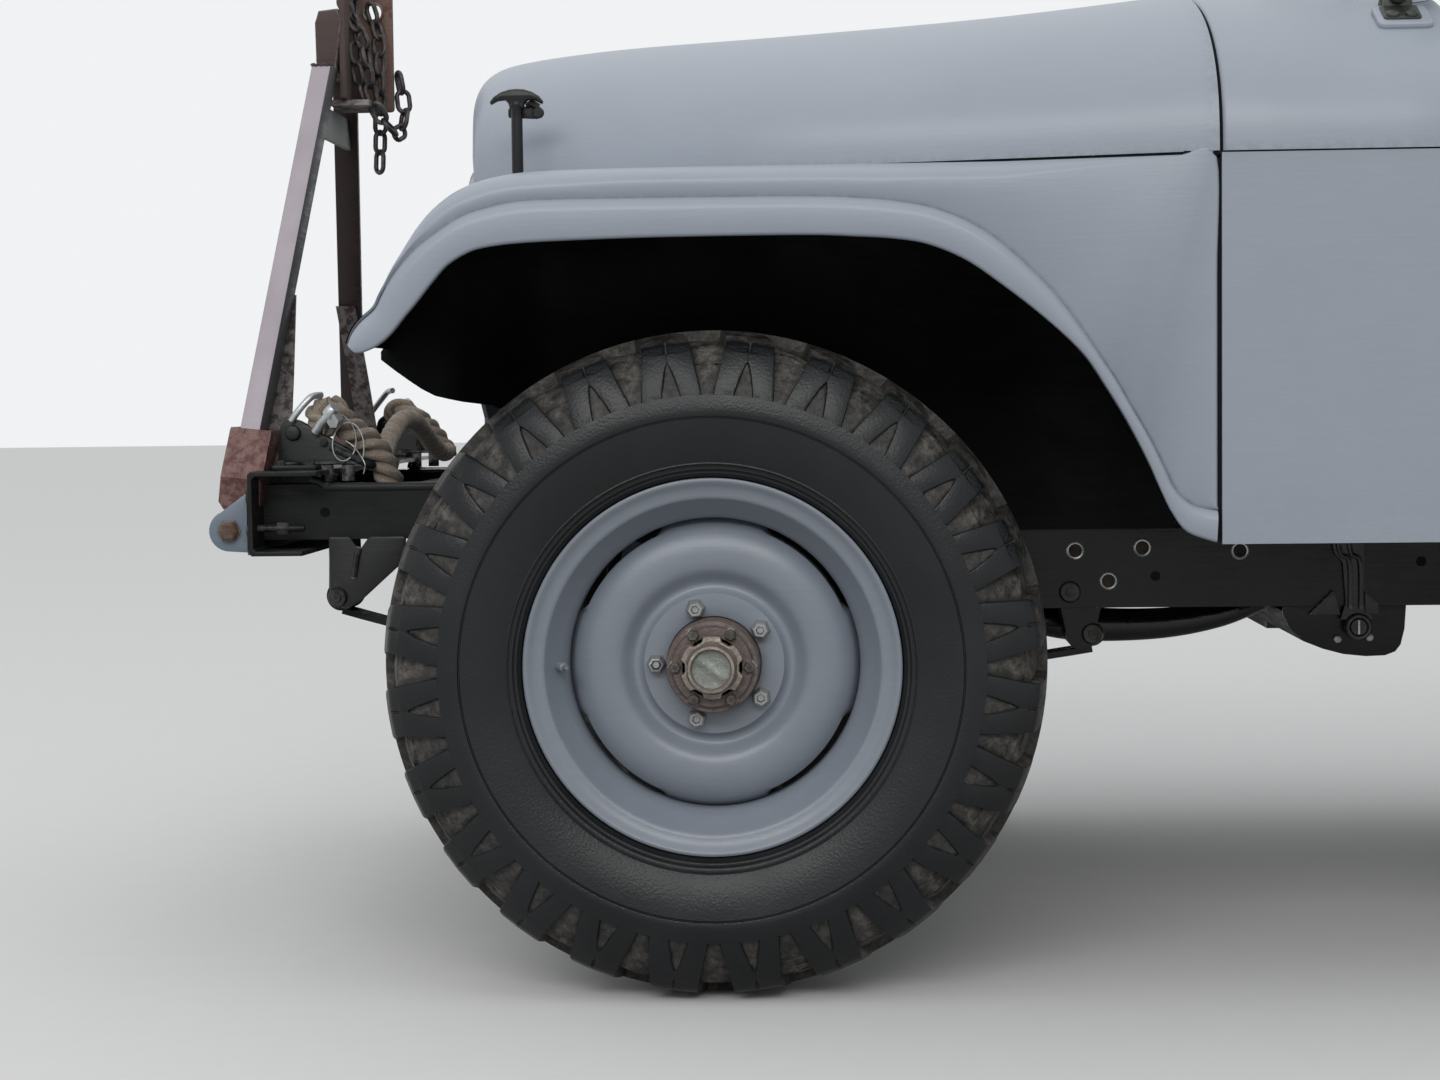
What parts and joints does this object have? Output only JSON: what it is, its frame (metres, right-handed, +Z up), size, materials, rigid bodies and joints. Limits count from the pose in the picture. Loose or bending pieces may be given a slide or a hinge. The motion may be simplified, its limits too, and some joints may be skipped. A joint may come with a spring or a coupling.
{
  "type": "army 4x4 utility car",
  "caption": "Open-topped military 4x4 utility car with round fenders, slotted grille, folding windscreen, fold-up A-frame tow bar and rear spare wheel.",
  "frame": {"origin": "on the ground, midway between the tow bar ears' noses and the spare tyre's rear face, on the car's middle plane", "axes": "+X forward, +Y to the car's left, +Z up"},
  "size_m": [3.5899, 1.53, 1.775],
  "materials": {
    "body_paint": "semi-gloss pale blue-grey hand paint",
    "chassis_black": "satin black chassis paint",
    "tyre": "worn black tyre with dried mud",
    "bare_steel": "weathered steel with rust",
    "engine": "dull painted cast iron",
    "glass": "clear flat glass",
    "lamp_glass": "ribbed lamp glass",
    "canvas": "worn canvas",
    "rope": "thick laid rope",
    "black_plastic": "matt black"
  },
  "bodies": {
    "chassis": {"frame": "chassis_black", "front_bumper": "chassis_black", "tow_bar_ears": "body_paint", "sling_brackets": "chassis_black", "sling_shackles": "bare_steel", "rope": "rope", "front_axle": "chassis_black", "rear_axle": "chassis_black", "leaf_springs": "chassis_black", "spring_hangers": "chassis_black", "engine": "engine", "gearbox": "engine", "skid_plate": "chassis_black", "prop_shafts": "chassis_black", "exhaust": "bare_steel", "fender_left": "body_paint", "fender_right": "body_paint", "grille": "body_paint", "headlamps": "lamp_glass", "tail_lamps": "body_paint", "cowl": "body_paint", "tub": "body_paint", "bumperettes": "chassis_black", "pintle_hook": "chassis_black", "spare_carrier": "body_paint", "wheel_spare": "body_paint", "tyre_spare": "tyre", "steering_column": "body_paint", "driver_seat_cushions": "canvas", "driver_seat_frame": "body_paint", "rear_seat_cushions": "canvas", "rear_seat_frame": "body_paint"},
    "tow_bar": {"tow_bar": "bare_steel"},
    "hood": {"hood": "body_paint"},
    "windscreen": {"windscreen_frame": "body_paint", "windscreen_glass": "glass"},
    "knuckle_left": {"knuckle_left": "chassis_black"},
    "knuckle_right": {"knuckle_right": "chassis_black"},
    "tie_rod": {"tie_rod": "chassis_black"},
    "steering_wheel": {"steering_wheel": "black_plastic"},
    "passenger_seat": {"passenger_seat_cushions": "canvas", "passenger_seat_frame": "body_paint"},
    "wheel_front_left": {"wheel_front_left": "body_paint", "tyre_front_left": "tyre"},
    "wheel_front_right": {"wheel_front_right": "body_paint", "tyre_front_right": "tyre"},
    "wheel_rear_left": {"wheel_rear_left": "body_paint", "tyre_rear_left": "tyre"},
    "wheel_rear_right": {"wheel_rear_right": "body_paint", "tyre_rear_right": "tyre"}
  },
  "joints": [
    {"name": "steer_left", "type": "hinge", "parent": "chassis", "child": "knuckle_left", "pos_m": [1.12, 0.512, 0.402], "axis": [0, 0, 1], "range_deg": [-21, 21]},
    {"name": "steer_right", "type": "hinge", "parent": "chassis", "child": "knuckle_right", "pos_m": [1.12, -0.512, 0.402], "axis": [0, 0, 1], "range_deg": [-21, 21]},
    {"name": "tie_rod_ball", "type": "hinge", "parent": "knuckle_left", "child": "tie_rod", "pos_m": [1.285, 0.527, 0.398], "axis": [0, 0, 1], "range_deg": [-21, 21]},
    {"name": "steering_wheel_turn", "type": "hinge", "parent": "chassis", "child": "steering_wheel", "pos_m": [-0.115, 0.36, 1.235], "axis": [-0.8006, 0.0286, 0.5985], "range_deg": [-360, 360]},
    {"name": "spin_front_left", "type": "hinge", "parent": "knuckle_left", "child": "wheel_front_left", "pos_m": [1.12, 0.6235, 0.402], "axis": [0, 1, 0], "continuous": true},
    {"name": "spin_front_right", "type": "hinge", "parent": "knuckle_right", "child": "wheel_front_right", "pos_m": [1.12, -0.6235, 0.402], "axis": [0, 1, 0], "continuous": true},
    {"name": "spin_rear_left", "type": "hinge", "parent": "chassis", "child": "wheel_rear_left", "pos_m": [-0.937, 0.6235, 0.402], "axis": [0, 1, 0], "continuous": true},
    {"name": "spin_rear_right", "type": "hinge", "parent": "chassis", "child": "wheel_rear_right", "pos_m": [-0.937, -0.6235, 0.402], "axis": [0, 1, 0], "continuous": true},
    {"name": "hood_lid", "type": "hinge", "parent": "chassis", "child": "hood", "pos_m": [0.528, 0, 1.26], "axis": [0, -1, 0], "range_deg": [0, 75]},
    {"name": "windscreen_fold", "type": "hinge", "parent": "chassis", "child": "windscreen", "pos_m": [0.305, 0, 1.187], "axis": [0, -1, 0], "range_deg": [-84, 0]},
    {"name": "tow_bar_swing", "type": "hinge", "parent": "chassis", "child": "tow_bar", "pos_m": [1.768, 0, 0.556], "axis": [0, 1, 0], "range_deg": [0, 96]},
    {"name": "passenger_seat_tip", "type": "hinge", "parent": "chassis", "child": "passenger_seat", "pos_m": [-0.065, -0.372, 0.6], "axis": [0, 1, 0], "range_deg": [0, 45]}
  ],
  "couplings": [
    {"joint": "steer_right", "follows": "steer_left", "ratio": 1},
    {"joint": "tie_rod_ball", "follows": "steer_left", "ratio": -1},
    {"joint": "steering_wheel_turn", "follows": "steer_left", "ratio": 17}
  ]
}
